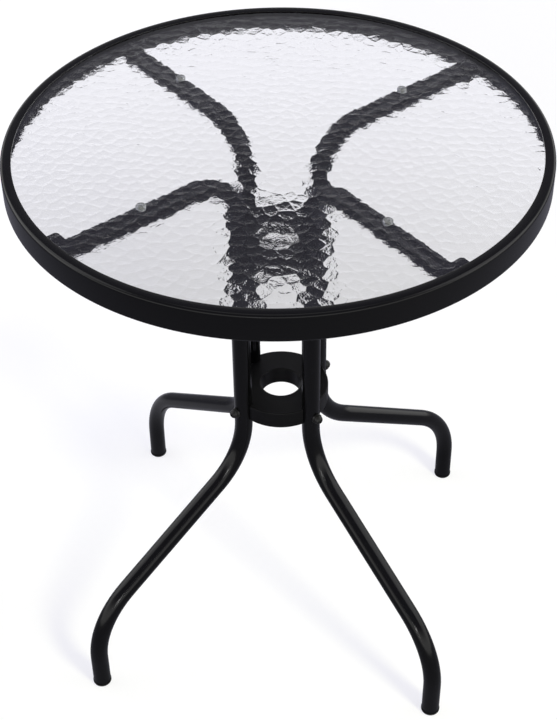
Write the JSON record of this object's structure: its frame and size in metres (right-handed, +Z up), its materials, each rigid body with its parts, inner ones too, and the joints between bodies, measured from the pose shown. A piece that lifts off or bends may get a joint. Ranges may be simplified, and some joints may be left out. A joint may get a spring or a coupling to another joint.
{
  "type": "garden table",
  "caption": "Round garden table with a rippled glass top in a black steel rim, on bent tube legs bolted to two rings near the axis.",
  "frame": {"origin": "on the floor under the middle of the round top", "axes": "+Z up along the table's axis, front towards -Y, legs on the diagonals between X and Y"},
  "size_m": [0.6, 0.6, 0.7],
  "materials": {
    "black_steel": "satin black powder coat",
    "clear_glass": "clear tempered glass with a rippled underside",
    "black_moulding": "satin black moulded nylon",
    "black_fasteners": "black coated steel",
    "brass_inserts": "plain turned brass",
    "black_rubbery_plastic": "matte black moulded polyethylene",
    "clear_plastic": "clear soft PVC"
  },
  "bodies": {
    "root": {"arm_screws": "black_fasteners", "arm_washers": "black_fasteners", "foot_cap_front_left": "black_rubbery_plastic", "foot_cap_front_right": "black_rubbery_plastic", "foot_cap_rear_left": "black_rubbery_plastic", "foot_cap_rear_right": "black_rubbery_plastic", "glass_bumper_front_left": "clear_plastic", "glass_bumper_front_right": "clear_plastic", "glass_bumper_rear_left": "clear_plastic", "glass_bumper_rear_right": "clear_plastic", "glass_top": "clear_glass", "leg_front_left": "black_steel", "leg_front_right": "black_steel", "leg_rear_left": "black_steel", "leg_rear_right": "black_steel", "lower_ring": "black_moulding", "lower_ring_bolts": "black_fasteners", "lower_ring_inserts": "brass_inserts", "lower_ring_washers": "black_fasteners", "rim": "black_steel", "rim_bracket_front_left": "black_steel", "rim_bracket_front_right": "black_steel", "rim_bracket_rear_left": "black_steel", "rim_bracket_rear_right": "black_steel", "upper_ring": "black_moulding", "upper_ring_bolts": "black_fasteners", "upper_ring_inserts": "brass_inserts", "upper_ring_washers": "black_fasteners"}
  },
  "joints": []
}
